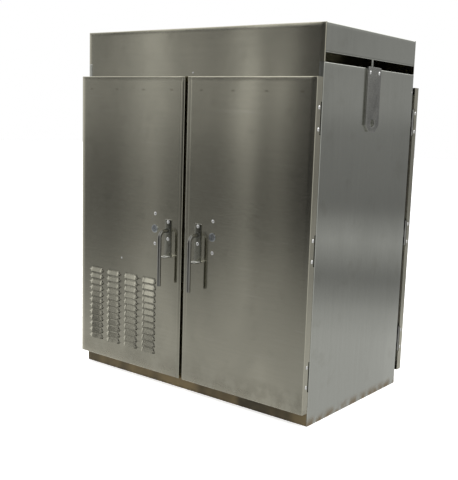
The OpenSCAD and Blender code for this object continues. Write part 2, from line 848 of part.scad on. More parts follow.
// Toggle on a cross pin, resting in its lower position
module breaker_toggle(which) {
    bar_from = toggle_bar[2] / 2;
    color("black")
        each_breaker(which) translate([0, toggle_y, 0]) {
            translate([-toggle_w / 2, 0, 0]) rotate([0, 90, 0]) cylinder(r = toggle_r, h = toggle_w);
            translate([-toggle_pin_len / 2, 0, 0]) rotate([0, 90, 0])
                cylinder(r = toggle_pin_r, h = toggle_pin_len);
            rotate([toggle_tilt, 0, 0])
                translate([-toggle_bar[0] / 2, -bar_from - toggle_bar[1], -toggle_bar[2] / 2])
                    cube(toggle_bar);
        }
}

plinth();
mirror([1, 0, 0]) side_panel();  // side_panel_left
side_panel();  // side_panel_right
front_frame();
rear_frame();
door_seals();
base_pan();
gland_plate();
roof_deck();
canopy_front_fascia();
canopy_rear_fascia();
canopy_side_fascias();
canopy_top();
lifting_lugs();
case_fasteners();
hinge_pins();
fixed_hinge_leaves();
mounting_pan();
busbars();
busbar_supports();
main_switch_body();
main_switch_handle();
outgoing_breakers();
breaker_toggle(0);  // breaker_toggle_left
breaker_toggle(1);  // breaker_toggle_right

front_left() door_skin(true, true);  // front_left_door_skin
front_left() louvre_panel();  // front_left_louvre_panel
front_left() door_frame();  // front_left_door_frame
front_left() hinge_leaves();  // front_left_hinge_leaves
front_left() door_bolts(true, true);  // front_left_door_bolts
front_left() handle_plate();  // front_left_handle_plate
front_left() lever();  // front_left_lever
front_left() latch_cam();  // front_left_latch_cam
front_left() latch_rod(1);  // front_left_upper_rod
front_left() latch_rod(-1);  // front_left_lower_rod
front_left() lock();  // front_left_lock

front_right() door_skin(false, true);  // front_right_door_skin
front_right() door_frame();  // front_right_door_frame
front_right() hinge_leaves();  // front_right_hinge_leaves
front_right() door_bolts(true);  // front_right_door_bolts
front_right() handle_plate();  // front_right_handle_plate
front_right() lever();  // front_right_lever
front_right() latch_cam();  // front_right_latch_cam
front_right() latch_rod(1);  // front_right_upper_rod
front_right() latch_rod(-1);  // front_right_lower_rod
front_right() lock();  // front_right_lock

rear_left() door_skin(false, false);  // rear_left_door_skin
rear_left() door_frame();  // rear_left_door_frame
rear_left() hinge_leaves();  // rear_left_hinge_leaves
rear_left() door_bolts(false);  // rear_left_door_bolts
rear_left() handle_plate();  // rear_left_handle_plate
rear_left() lever();  // rear_left_lever
rear_left() latch_tongue();  // rear_left_latch_tongue

rear_right() door_skin(false, false);  // rear_right_door_skin
rear_right() door_frame();  // rear_right_door_frame
rear_right() hinge_leaves();  // rear_right_hinge_leaves
rear_right() door_bolts(false);  // rear_right_door_bolts
rear_right() handle_plate();  // rear_right_handle_plate
rear_right() lever();  // rear_right_lever
rear_right() latch_tongue();  // rear_right_latch_tongue
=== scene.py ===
"""Looks of a stainless-steel switchboard cabinet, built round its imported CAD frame."""
import json
import math

import bmesh
import bpy
import numpy as np
from mathutils import Matrix, Vector

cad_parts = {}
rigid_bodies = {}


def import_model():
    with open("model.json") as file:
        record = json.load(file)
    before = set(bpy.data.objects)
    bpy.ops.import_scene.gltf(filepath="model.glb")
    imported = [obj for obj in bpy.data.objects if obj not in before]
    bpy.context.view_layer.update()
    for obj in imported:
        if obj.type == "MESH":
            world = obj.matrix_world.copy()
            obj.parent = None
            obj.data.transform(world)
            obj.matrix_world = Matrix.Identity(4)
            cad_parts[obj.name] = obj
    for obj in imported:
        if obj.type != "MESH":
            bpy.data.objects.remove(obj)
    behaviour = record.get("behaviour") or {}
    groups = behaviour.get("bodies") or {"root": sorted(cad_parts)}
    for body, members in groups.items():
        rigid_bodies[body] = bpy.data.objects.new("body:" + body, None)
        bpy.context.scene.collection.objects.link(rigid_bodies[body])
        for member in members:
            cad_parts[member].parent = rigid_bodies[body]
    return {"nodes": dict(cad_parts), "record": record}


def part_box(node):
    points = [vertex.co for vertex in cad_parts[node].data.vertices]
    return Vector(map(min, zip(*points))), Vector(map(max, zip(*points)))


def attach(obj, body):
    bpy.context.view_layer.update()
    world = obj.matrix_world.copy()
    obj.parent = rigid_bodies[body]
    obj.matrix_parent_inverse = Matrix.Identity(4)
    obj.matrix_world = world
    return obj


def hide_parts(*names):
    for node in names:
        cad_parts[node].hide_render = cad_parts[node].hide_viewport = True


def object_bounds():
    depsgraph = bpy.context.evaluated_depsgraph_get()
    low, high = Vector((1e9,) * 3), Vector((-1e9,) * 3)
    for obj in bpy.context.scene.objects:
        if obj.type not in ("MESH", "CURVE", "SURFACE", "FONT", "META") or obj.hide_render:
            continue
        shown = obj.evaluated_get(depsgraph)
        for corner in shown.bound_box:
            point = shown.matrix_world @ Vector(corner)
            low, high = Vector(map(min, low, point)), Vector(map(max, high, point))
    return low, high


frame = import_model()
cad_box = [list(corner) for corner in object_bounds()]

# ---- sizes, in metres, from the frame ----
SHEET = 0.002
FOLD_R = 0.004
BEND_STEPS = 4
TINY = 1e-5                              # what counts as the same place on a sheet
EDGE_BREAK = 0.0006                      # width of a softened edge
EDGE_ANGLE = 40                          # edges sharper than this are softened, in degrees
SKIN_LO, SKIN_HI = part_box("front_right_door_skin")
FACE_Y = SKIN_LO.y                       # plane of the front doors' faces
HALF_W = SKIN_HI.x
DOOR_INNER_X = SKIN_LO.x                 # free edge of a door, from the mid-line
DOOR_BACK_Y = SKIN_HI.y
PANEL_LO, PANEL_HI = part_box("side_panel_right")
REAR_TURN_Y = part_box("rear_right_door_skin")[1].y + FACE_Y   # the rear doors are the front ones turned
DOORS = ("front_left", "front_right", "rear_left", "rear_right")


# ---- meshes ----

def make_object(name, verts, faces, sharp_deg=35):
    """A mesh object in the scene, smooth between its sharp edges."""
    mesh = bpy.data.meshes.new(name)
    mesh.from_pydata([tuple(v) for v in verts], [], faces)
    obj = bpy.data.objects.new(name, mesh)
    bpy.context.scene.collection.objects.link(obj)
    return shade(obj, sharp_deg)


def shade(obj, sharp_deg=35):
    obj.data.shade_smooth()
    obj.data.set_sharp_from_angle(angle=math.radians(sharp_deg))
    return obj


def modify(obj, kind, **settings):
    """Adds a modifier and applies it, so that the mesh is final."""
    modifier = obj.modifiers.new(kind.lower(), kind)
    for key, value in settings.items():
        setattr(modifier, key, value)
    graph = bpy.context.evaluated_depsgraph_get()
    mesh = bpy.data.meshes.new_from_object(obj.evaluated_get(graph))
    obj.modifiers.clear()
    obj.data = mesh
    return obj


def bevel(obj, width, segments=2):
    modify(obj, "BEVEL", width=width, segments=segments, limit_method="ANGLE",
           angle_limit=math.radians(EDGE_ANGLE), harden_normals=False)
    return shade(obj, 50)


def cut(obj, cutter):
    """Takes cutter's volume out of obj, and removes cutter."""
    modify(obj, "BOOLEAN", operation="DIFFERENCE", object=cutter, solver="EXACT")
    bpy.data.objects.remove(cutter)
    return obj


def join(name, objects):
    """Joins objects into one, keeping each one's faces."""
    whole = bmesh.new()
    for obj in objects:
        whole.from_mesh(obj.data)
        bpy.data.objects.remove(obj)
    mesh = bpy.data.meshes.new(name)
    whole.to_mesh(mesh)
    whole.free()
    obj = bpy.data.objects.new(name, mesh)
    bpy.context.scene.collection.objects.link(obj)
    return obj


def transform(obj, matrix):
    """Moves a mesh's points, and keeps its faces outwards if the matrix mirrors."""
    obj.data.transform(matrix)
    if matrix.determinant() < 0:
        obj.data.flip_normals()
    return obj


def copy_of(obj, name):
    """A copy with a mesh of its own."""
    twin = bpy.data.objects.new(name, obj.data.copy())
    bpy.context.scene.collection.objects.link(twin)
    return twin


def door_matrix(door):
    """Takes front-left coordinates to those of another door."""
    mirror = Matrix.Diagonal((-1, 1, 1, 1))
    turn = Matrix.Translation((0, REAR_TURN_Y, 0)) @ Matrix.Diagonal((-1, -1, 1, 1))
    return {
        "front_left": Matrix.Identity(4),
        "front_right": mirror,
        "rear_right": turn,
        "rear_left": turn @ mirror,
    }[door]


def lines(start, stop, step, extra=()):
    """Grid coordinates from start to stop, about step apart, with extra ones added."""
    count = max(1, round((stop - start) / step))
    regular = [start + (stop - start) * i / count for i in range(count + 1)]
    extra = [e for e in extra if start + 1e-4 < e < stop - 1e-4]
    keep = [r for r in regular if r in (start, stop) or all(abs(r - e) > 0.004 for e in extra)]
    return sorted(keep + extra)


def near(value, values, gap=0.002):
    return any(abs(value - v) < gap for v in values)


def bend_rings(depth, depth_lines=()):
    """(outward, inward) steps round a bend and along its flange."""
    angles = [math.pi / 2 * k / BEND_STEPS for k in range(1, BEND_STEPS + 1)]
    arc = [(FOLD_R * math.sin(a), FOLD_R * (1 - math.cos(a))) for a in angles]
    stops = [d for d in sorted([*depth_lines, depth]) if d > FOLD_R + 1e-4]
    return arc + [(FOLD_R, d) for d in stops]


class Sheet:
    """A folded sheet: a flat face over u and v, with a flange along some of its four sides.

    origin is where u = v = 0 on the outer face; u_axis cross v_axis points outwards.
    """

    def __init__(self, origin, u_axis, v_axis, us, vs, flanges):
        self.origin, self.u_axis, self.v_axis = Vector(origin), Vector(u_axis), Vector(v_axis)
        self.out = self.u_axis.cross(self.v_axis)
        self.us, self.vs, self.flanges = us, vs, flanges
        self.verts, self.faces = [], []

    def at(self, u, v, out=0.0):
        return self.origin + self.u_axis * u + self.v_axis * v + self.out * out

    def add(self, u, v, out=0.0):
        self.verts.append(self.at(u, v, out))
        return len(self.verts) - 1

    def press_louvre(self, height, u0, u1, v0, v1):
        """Stands a louvre out, with a second row of points for the lip along its lower edge."""
        columns = [i for i, u in enumerate(self.us) if u0 + TINY < u < u1 - TINY]
        rows = [j for j, v in enumerate(self.vs) if v0 - TINY < v < v1 - TINY]
        for i in columns:
            for j in rows:
                u, v = self.us[i], self.vs[j]
                hood = louvre_hood((u - u0) / (u1 - u0), max(0.0, (v - v0) / (v1 - v0)))
                point = (u, v, height(u, v) + hood)
                if abs(v - v0) < TINY:
                    self.lips[i, j] = self.add(*point)
                else:
                    self.verts[self.ids[i][j]] = self.at(*point)

    def face_grid(self, height, louvres=()):
        """The flat face. height(u, v) stands it out; each louvre opens a slit along its lower edge."""
        us, vs = self.us, self.vs
        self.ids = [[self.add(u, v, height(u, v)) for v in vs] for u in us]
        self.lips = {}
        for louvre in louvres:
            self.press_louvre(height, *louvre)
        for i in range(len(us) - 1):
            for j in range(len(vs) - 1):
                u, v = (us[i] + us[i + 1]) / 2, (vs[j] + vs[j + 1]) / 2
                if any(a < u < b and c < v < d and hood_open((u - a) / (b - a), (v - c) / (d - c))
                       for a, b, c, d in louvres):
                    continue
                low = [self.lips.get((k, j), self.ids[k][j]) for k in (i, i + 1)]
                self.faces.append((low[0], low[1], self.ids[i + 1][j + 1], self.ids[i][j + 1]))

    def flange(self, side, rings, notches=()):
        """One flange; notches are (start, stop, depth) stretches left out beyond depth."""
        along_v = side in ("left", "right")
        coords = self.vs if along_v else self.us
        ends = ("bottom", "top") if along_v else ("left", "right")
        last = len(coords) - 1
        away = -1 if side in ("left", "bottom") else 1
        end = 0 if away < 0 else -1
        fixed = self.us[end] if along_v else self.vs[end]
        previous = list(self.ids[end]) if along_v else [column[end] for column in self.ids]
        depth_before = 0.0
        for outward, inward in rings:
            current = []
            for k, c in enumerate(coords):
                mitre = 0.0
                if k == 0 and ends[0] in self.flanges:
                    mitre = -outward
                if k == last and ends[1] in self.flanges:
                    mitre = outward
                here = (fixed + away * outward, c + mitre)
                u, v = here if along_v else here[::-1]
                current.append(self.add(u, v, -inward))
            for k in range(last):
                middle = (coords[k] + coords[k + 1]) / 2
                if any(a < middle < b and depth_before > d - TINY for a, b, d in notches):
                    continue
                quad = (previous[k], previous[k + 1], current[k + 1], current[k])
                self.faces.append(quad[::-1] if side in ("right", "bottom") else quad)
            previous, depth_before = current, inward

    def build(self, name, thickness=SHEET):
        obj = make_object(name, self.verts, self.faces)
        mesh = bmesh.new()
        mesh.from_mesh(obj.data)
        bmesh.ops.remove_doubles(mesh, verts=mesh.verts, dist=1e-6)
        loose = [v for v in mesh.verts if not v.link_faces]
        bmesh.ops.delete(mesh, geom=loose, context="VERTS")
        mesh.to_mesh(obj.data)
        mesh.free()
        modify(obj, "SOLIDIFY", thickness=thickness, offset=-1, use_even_offset=True)
        return shade(obj, 40)


TURN = 6.28                              # about one turn, in radians


def waves(seed, amount, u0, u1, v0, v1):
    """Slight unevenness of a large sheet, nil at its edges."""
    draw = np.random.default_rng(seed)
    terms = [(draw.uniform(0.7, 2.6), draw.uniform(0.5, 2.4), draw.uniform(0, TURN),
              draw.uniform(0, TURN), draw.uniform(0.4, 1.0)) for _ in range(5)]

    def height(u, v):
        a, b = (u - u0) / (u1 - u0), (v - v0) / (v1 - v0)
        window = math.sin(math.pi * min(max(a, 0), 1)) * math.sin(math.pi * min(max(b, 0), 1))
        total = sum(weight * math.sin(TURN * p * a + s) * math.sin(TURN * q * b + t)
                    for p, q, s, t, weight in terms)
        return amount * window ** 0.5 * total / sum(term[-1] for term in terms)
    return height


def ring_faces(rings, segments):
    """Faces between rings of points, and a flat face on the first ring and on the last."""
    faces = []
    for r in range(rings - 1):
        low, high = r * segments, (r + 1) * segments
        for k in range(segments):
            n = (k + 1) % segments
            faces.append((low + k, low + n, high + n, high + k))
    faces.append(tuple(range(segments))[::-1])
    faces.append(tuple((rings - 1) * segments + k for k in range(segments)))
    return faces


def lathe(name, profile, segments=32):
    """Turns (radius, height) points about Z, and closes both ends flat."""
    verts = []
    for radius, height in profile:
        for k in range(segments):
            a = 2 * math.pi * k / segments
            verts.append((radius * math.cos(a), radius * math.sin(a), height))
    return make_object(name, verts, ring_faces(len(profile), segments))


def tube(name, points, radius, segments=28, chamfer=0.0015):
    """A round bar along points, chamfered at both ends."""
    pts = [Vector(p) for p in points]
    rings = []
    side = None
    for i, p in enumerate(pts):
        ahead = (pts[min(i + 1, len(pts) - 1)] - pts[max(i - 1, 0)]).normalized()
        if side is None:
            side = ahead.orthogonal().normalized()
        side = (side - ahead * side.dot(ahead)).normalized()
        other = ahead.cross(side)
        rings.append((p, side.copy(), other, radius))
    first, last = rings[0], rings[-1]
    start = (pts[1] - pts[0]).normalized() * chamfer
    stop = (pts[-1] - pts[-2]).normalized() * chamfer
    rings = [(*first[:3], radius - chamfer), (first[0] + start, *first[1:]), *rings[1:-1],
             (last[0] - stop, *last[1:]), (*last[:3], radius - chamfer)]
    angles = [2 * math.pi * k / segments for k in range(segments)]
    verts = [p + (s * math.cos(a) + o * math.sin(a)) * r for p, s, o, r in rings for a in angles]
    return make_object(name, verts, ring_faces(len(rings), segments))


def block(name, low, high, edge=0.001):
    """A box with softened edges."""
    x0, y0, z0 = low
    x1, y1, z1 = high
    verts = [(x, y, z) for x in (x0, x1) for y in (y0, y1) for z in (z0, z1)]
    faces = [(0, 1, 3, 2), (4, 6, 7, 5), (0, 4, 5, 1), (2, 3, 7, 6), (0, 2, 6, 4), (1, 5, 7, 3)]
    obj = make_object(name, verts, faces)
    return bevel(obj, edge) if edge else obj


def prism(name, outline, depth):
    """An outline in x and y, counter-clockwise, extruded up by depth."""
    n = len(outline)
    verts = [(x, y, z) for z in (0.0, depth) for x, y in outline]
    faces = [tuple(range(n))[::-1], tuple(range(n, 2 * n))]
    faces += [(k, (k + 1) % n, n + (k + 1) % n, n + k) for k in range(n)]
    return make_object(name, verts, faces)


def arc(centre, radius, start_deg, stop_deg, steps):
    """Points of an arc, in degrees counter-clockwise from the first axis."""
    cx, cy = centre
    angles = [math.radians(start_deg + (stop_deg - start_deg) * k / steps) for k in range(steps + 1)]
    return [(cx + radius * math.cos(a), cy + radius * math.sin(a)) for a in angles]


# ---- materials ----

class Graph:
    """A material's nodes, built with short calls. Coordinates are the object's own, in metres."""

    def __init__(self, name, **sockets):
        self.material = bpy.data.materials.new(name)
        self.material.use_nodes = True
        self.tree = self.material.node_tree
        self.bsdf = self.tree.nodes["Principled BSDF"]
        self.coords = self.node("ShaderNodeTexCoord").outputs["Object"]
        for key, value in sockets.items():
            self.bsdf.inputs[key.title()].default_value = value

    def node(self, kind, **props):
        node = self.tree.nodes.new(kind)
        for key, value in props.items():
            setattr(node, key, value)
        return node

    def feed(self, socket, value):
        if isinstance(value, bpy.types.NodeSocket):
            self.tree.links.new(value, socket)
        elif isinstance(value, (tuple, list)) and len(value) == 3 and socket.type == "RGBA":
            socket.default_value = (*value, 1)
        else:
            socket.default_value = value

    def ramp(self, value, low, high, to_low=0.0, to_high=1.0):
        """Maps low..high to to_low..to_high, clamped."""
        node = self.node("ShaderNodeMapRange", interpolation_type="SMOOTHSTEP")
        for name, v in zip(("Value", "From Min", "From Max", "To Min", "To Max"),
                           (value, low, high, to_low, to_high)):
            self.feed(node.inputs[name], v)
        return node.outputs["Result"]

    def noise(self, scale, stretch=(1, 1, 1), detail=4.0, low=0.35, high=0.65,
              turn=(0, 0, 0), wobble=0.0):
        """Noise from 0 to 1, drawn out along the axes whose stretch is under 1."""
        mapping = self.node("ShaderNodeMapping")
        mapping.inputs["Scale"].default_value = stretch
        mapping.inputs["Rotation"].default_value = turn
        self.feed(mapping.inputs["Vector"], self.coords)
        node = self.node("ShaderNodeTexNoise")
        self.feed(node.inputs["Vector"], mapping.outputs["Vector"])
        self.feed(node.inputs["Scale"], scale)
        self.feed(node.inputs["Detail"], detail)
        self.feed(node.inputs["Distortion"], wobble)
        return self.ramp(node.outputs["Fac"], low, high)

    def axis(self, name):
        node = self.node("ShaderNodeSeparateXYZ")
        self.feed(node.inputs["Vector"], self.coords)
        return node.outputs[name]

    def math(self, operation, a, b=0.0):
        node = self.node("ShaderNodeMath", operation=operation)
        self.feed(node.inputs[0], a)
        self.feed(node.inputs[1], b)
        return node.outputs["Value"]

    def blend(self, factor, a, b, mode="MIX"):
        """Colour a, turning to b as factor goes from 0 to 1."""
        node = self.node("ShaderNodeMix", data_type="RGBA", blend_type=mode)
        self.feed(node.inputs[0], factor)
        self.feed(node.inputs[6], a)
        self.feed(node.inputs[7], b)
        return node.outputs[2]

    def bump(self, height, strength, distance):
        node = self.node("ShaderNodeBump")
        self.feed(node.inputs["Height"], height)
        self.feed(node.inputs["Strength"], strength)
        self.feed(node.inputs["Distance"], distance)
        return node.outputs["Normal"]

    def surface(self, colour=None, roughness=None, normal=None):
        for name, value in (("Base Color", colour), ("Roughness", roughness), ("Normal", normal)):
            if value is not None:
                self.feed(self.bsdf.inputs[name], value)
        return self.material


def brushed(name, tint, dark_tint, grain, roughness=(0.09, 0.12), marks=0.0,
            dirt_and_reflection_top=0.25, dirt_and_reflection_share=0.12):
    """Brushed stainless sheet; grain is the axis that the fine lines run along."""
    g = Graph(name, metallic=1.0, anisotropic=0.9)
    along = {"X": (0.03, 1, 1), "Z": (1, 1, 0.03)}[grain]
    g.bsdf.inputs["Anisotropic Rotation"].default_value = 0.25 if grain == "X" else 0.0
    tangent = g.node("ShaderNodeTangent", direction_type="RADIAL", axis="Z")
    g.feed(g.bsdf.inputs["Tangent"], tangent.outputs["Tangent"])
    fine = g.noise(900, along, detail=2, low=0.2, high=0.8)
    coarse = g.noise(90, along, detail=4, low=0.3, high=0.7)
    clouds = g.noise(1.9, (1, 1, 0.6), detail=3, wobble=0.6)
    blots = g.noise(9, detail=5, low=0.55, high=0.75)
    scratches = g.noise(60, (0.05, 1, 1), detail=2, low=0.66, high=0.72, turn=(0, 0.9, 0))
    # Brown tint towards the bottom of the sheet: partly dirt, partly a painted reflection of the floor.
    height = g.axis("Z")
    grime = g.math("MULTIPLY", g.ramp(height, dirt_and_reflection_top, 0.0),
                   g.noise(16, (1, 1, 0.8), detail=6, low=0.35, high=0.62))
    colour = g.blend(clouds, tint, dark_tint)
    colour = g.blend(g.math("MULTIPLY", fine, 0.10), colour, (0.86, 0.85, 0.80))
    colour = g.blend(g.math("MULTIPLY", coarse, 0.05), colour, (0.22, 0.21, 0.18))
    colour = g.blend(g.math("MULTIPLY", blots, 0.14), colour, (0.28, 0.27, 0.21))
    colour = g.blend(g.math("MULTIPLY", grime, dirt_and_reflection_share), colour, (0.24, 0.16, 0.07))
    colour = g.blend(g.math("MULTIPLY", scratches, 0.06), colour, (0.80, 0.79, 0.74))
    if marks:
        colour = weld_marks(g, colour, marks)
    rough = g.math("ADD", g.ramp(fine, 0, 1, *roughness), g.math("MULTIPLY", grime, 0.25))
    rough = g.math("ADD", rough, g.math("MULTIPLY", clouds, 0.03))
    return g.surface(colour, rough, g.bump(fine, 0.05, 0.0001))


WELD_SPACING = 0.2135
WELD_Z = 1.672
WELD_HALF = (0.014, 0.007)               # a mark's half width, to its faint edge and to its full tint
WELD_HALF_HEIGHT = (0.007, 0.002)


def weld_marks(g, colour, strength):
    """Heat-tinted spots where the stiffeners behind are spot-welded, along the doors' upper edges."""
    x, z = g.axis("X"), g.axis("Z")
    across = g.math("SUBTRACT", WELD_SPACING / 2, g.math("PINGPONG", x, WELD_SPACING / 2))
    above = g.math("ABSOLUTE", g.math("SUBTRACT", z, WELD_Z))
    spot = g.math("MULTIPLY", g.ramp(across, *WELD_HALF), g.ramp(above, *WELD_HALF_HEIGHT))
    return g.blend(g.math("MULTIPLY", spot, strength), colour, (0.16, 0.13, 0.08))


def plain_metal(name, tint, dark_tint, roughness, scale=180, grime=0.25):
    """Satin or machined metal, with fine speckle, soft clouds and darker grime."""
    g = Graph(name, metallic=1.0)
    speckle = g.noise(scale, detail=3, low=0.25, high=0.75)
    clouds = g.noise(14, detail=4)
    dirt = g.noise(38, detail=6, low=0.52, high=0.74)
    colour = g.blend(clouds, tint, dark_tint)
    colour = g.blend(g.math("MULTIPLY", speckle, 0.12), colour, (0.8, 0.8, 0.78))
    colour = g.blend(g.math("MULTIPLY", dirt, grime), colour, (0.14, 0.12, 0.09))
    rough = g.math("ADD", g.ramp(speckle, 0, 1, *roughness), g.math("MULTIPLY", dirt, 0.12))
    return g.surface(colour, rough, g.bump(speckle, 0.10, 0.0003))


def plate_with_painted_top_light(name):
    """Dull plate steel, with a painted highlight on its faces that point up: paler and less metallic there,
    as if lit from above.
    """
    g = Graph(name)
    clouds = g.noise(14, detail=4)
    dirt = g.noise(38, detail=6, low=0.52, high=0.74)
    normal = g.node("ShaderNodeSeparateXYZ")
    g.feed(normal.inputs["Vector"], g.node("ShaderNodeTexCoord").outputs["Normal"])
    painted_top_light = g.ramp(normal.outputs["Z"], 0.5, 0.9)
    colour = g.blend(clouds, (0.20, 0.20, 0.165), (0.15, 0.15, 0.125))
    colour = g.blend(g.math("MULTIPLY", dirt, 0.3), colour, (0.08, 0.07, 0.05))
    # Painted highlight: faces that point up are made paler, as overhead light would make them.
    colour = g.blend(painted_top_light, colour, (0.62, 0.62, 0.58))
    g.feed(g.bsdf.inputs["Metallic"], g.ramp(painted_top_light, 0, 1, 1.0, 0.15))
    return g.surface(colour, g.ramp(dirt, 0, 1, 0.24, 0.38), g.bump(clouds, 0.05, 0.0003))


def turned_bar(name, tint):
    """Drawn round bar: faint rings round it and handling marks."""
    g = Graph(name, metallic=1.0)
    drawn = g.noise(500, (1, 1, 0.02), detail=2, low=0.2, high=0.8)
    rub = g.noise(22, detail=5, low=0.5, high=0.72)
    colour = g.blend(g.math("MULTIPLY", drawn, 0.35), tint, (0.19, 0.19, 0.18))
    colour = g.blend(g.math("MULTIPLY", rub, 0.3), colour, (0.16, 0.15, 0.12))
    return g.surface(colour, g.ramp(rub, 0, 1, 0.14, 0.26), g.bump(drawn, 0.08, 0.0002))


def zinc(name, tint, dark_tint):
    """Zinc plate: mottled spangle and brownish stains."""
    g = Graph(name, metallic=0.85)
    spangle = g.node("ShaderNodeTexVoronoi")
    g.feed(spangle.inputs["Vector"], g.coords)
    g.feed(spangle.inputs["Scale"], 90.0)
    cells = g.ramp(spangle.outputs["Distance"], 0.1, 0.7)
    stains = g.noise(6, (1, 1, 0.6), detail=6, low=0.4, high=0.72)
    colour = g.blend(cells, tint, dark_tint)
    colour = g.blend(g.math("MULTIPLY", stains, 0.55), colour, (0.16, 0.11, 0.05))
    return g.surface(colour, g.ramp(cells, 0, 1, 0.34, 0.52), g.bump(cells, 0.08, 0.0004))


def stained_steel(name):
    """Brown passivated steel, with wide dark stains along it and dirt near the floor."""
    g = Graph(name, metallic=0.6)
    stains = g.noise(2.6, (1, 1, 0.3), detail=3, low=0.42, high=0.6)
    fine = g.noise(40, (0.4, 0.4, 1), detail=5, low=0.3, high=0.75)
    dirt = g.math("MULTIPLY", g.ramp(g.axis("Z"), 0.022, 0.0), g.noise(30, detail=5, low=0.35, high=0.6))
    colour = g.blend(stains, (0.205, 0.155, 0.078), (0.055, 0.046, 0.028))
    colour = g.blend(g.math("MULTIPLY", fine, 0.25), colour, (0.17, 0.14, 0.085))
    colour = g.blend(g.math("MULTIPLY", dirt, 0.6), colour, (0.05, 0.04, 0.025))
    return g.surface(colour, g.ramp(fine, 0, 1, 0.34, 0.5), g.bump(fine, 0.08, 0.0003))


def moulded(name, tint, roughness, grain=0.25):
    """Moulded plastic or rubber: fine texture, dust and small variation of gloss."""
    g = Graph(name, metallic=0.0)
    texture = g.noise(900, detail=2, low=0.3, high=0.7)
    dust = g.noise(25, detail=6, low=0.5, high=0.8)
    pale = tuple(min(1.0, c * 1.25 + 0.05) for c in tint)
    colour = g.blend(g.math("MULTIPLY", dust, 0.45), tint, pale)
    rough = g.ramp(dust, 0, 1, roughness, roughness + 0.18)
    return g.surface(colour, rough, g.bump(texture, grain, 0.0003))


def copper_bar(name):
    """Drawn copper, darker where it has tarnished."""
    g = Graph(name, metallic=1.0)
    drawn = g.noise(380, (0.02, 1, 1), detail=2, low=0.2, high=0.8)
    tarnish = g.noise(11, (0.5, 1, 1), detail=6, low=0.45, high=0.75)
    colour = g.blend(tarnish, (0.80, 0.40, 0.24), (0.42, 0.19, 0.10))
    return g.surface(colour, g.ramp(tarnish, 0, 1, 0.24, 0.45), g.bump(drawn, 0.1, 0.0002))


MATERIALS = {
    "brushed_front": brushed("brushed_front", (0.55, 0.53, 0.425), (0.47, 0.455, 0.365), "X", marks=0.3),
    # The side sheets' strong brown band along their foot is a painted floor reflection as well as dirt.
    "brushed_side": brushed("brushed_side", (0.51, 0.52, 0.47), (0.45, 0.46, 0.415), "Z", (0.10, 0.13),
                            dirt_and_reflection_top=0.06, dirt_and_reflection_share=0.8),
    "mill_stainless": plain_metal("mill_stainless", (0.50, 0.50, 0.48), (0.40, 0.40, 0.38), (0.32, 0.46)),
    "zinc_plate": zinc("zinc_plate", (0.58, 0.57, 0.50), (0.47, 0.46, 0.38)),
    "passivated_steel": stained_steel("passivated_steel"),
    # Near-black seal rubber: a dark piece put in the door gap and the rear frame recess, where there is only
    # shade: painted shade.
    "seal_rubber": moulded("seal_rubber", (0.018, 0.018, 0.018), 0.55),
    "lug_steel": plain_metal("lug_steel", (0.31, 0.31, 0.285), (0.26, 0.26, 0.24), (0.24, 0.34),
                             scale=520, grime=0.1),
    "dome_bolts": plain_metal("dome_bolts", (0.72, 0.72, 0.71), (0.60, 0.60, 0.59), (0.07, 0.12),
                              grime=0.1),
    "handle_plate_steel": plate_with_painted_top_light("handle_plate_steel"),
    "polished_bar": turned_bar("polished_bar", (0.235, 0.235, 0.215)),
    "lock_disc": plain_metal("lock_disc", (0.50, 0.53, 0.54), (0.30, 0.32, 0.33), (0.16, 0.26),
                             grime=0.3),
    "hinge_steel": plain_metal("hinge_steel", (0.36, 0.36, 0.34), (0.26, 0.26, 0.25), (0.32, 0.46)),
    "latch_zinc": zinc("latch_zinc", (0.60, 0.57, 0.44), (0.48, 0.45, 0.33)),
    "copper": copper_bar("copper"),
    "insulator": moulded("insulator", (0.30, 0.055, 0.03), 0.4),
    "switch_case": moulded("switch_case", (0.075, 0.078, 0.085), 0.45),
    "breaker_case": moulded("breaker_case", (0.13, 0.14, 0.15), 0.42),
    "switch_handle_red": moulded("switch_handle_red", (0.52, 0.03, 0.02), 0.3, 0.12),
    "toggle_black": moulded("toggle_black", (0.02, 0.02, 0.02), 0.3, 0.12),
}


def finish_piece(obj, slot, body, *nodes):
    """Gives a piece its material, its body and the CAD nodes that it stands for."""
    obj.data.materials.clear()
    obj.data.materials.append(MATERIALS[slot])
    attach(obj, body)
    if nodes:
        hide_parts(*nodes)
    return obj


# ---- doors ----

HINGE_Z = [0.265, 0.906, 1.548]
NOTCH_HALF = 0.079
NOTCH_DEPTH = 0.038                      # from the face to where a hinge notch starts
HINGE_BOLT_DZ = 0.052                    # hinge bolts, above and below a hinge's middle
HINGE_BOLT_IN = 0.026                    # and behind the door's face
LOUVRE_X = [-0.253, -0.399, -0.545, -0.691]
LOUVRE_W, LOUVRE_H, LOUVRE_OUT = 0.105, 0.027, 0.0088
LOUVRE_Z = [0.1765 + 0.0374 * row for row in range(12)]
HOOD_END = 0.11                          # share of a louvre's width that rounds off at each end
HOOD_TAPER = 0.08                        # and that its upper corners taper by
HOOD_STEPS = [0, 0.012, 0.035, 0.07, 0.11, 0.22, 0.36, 0.5, 0.64, 0.78, 0.89, 0.93, 0.965, 0.988, 1]
OPEN_END, OPEN_UP = 0.035, 0.34          # opening at each end of a louvre, as shares of its size
WAVE = 0.0005                            # unevenness of the doors' and the canopy's sheets
FINE_STEP = 0.03                         # grid step of their faces
FLANGE_LINE = 0.02                       # grid line along a flange, in from the face
DOME = (0.010, 0.0045)                   # radius and height of a dome head
SMALL_DOME = (0.005, 0.0025)
SPINDLE_X, SPINDLE_Z = -0.110, 0.905
PLATE_BOLT_DZ = 0.0475                   # handle plate's bolts, above and below the spindle
LOCK_X = -0.212
LOCK_BOLT_DZ = 0.085
RIVET_X, RIVET_Z = -0.478, 0.702         # lone head above the louvres
FORWARD = (0, -1, 0)
CAM_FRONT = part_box("front_left_latch_cam")[0].y
PLATE_HALF, PLATE_Z0, PLATE_Z1 = 0.025, 0.757, 0.966
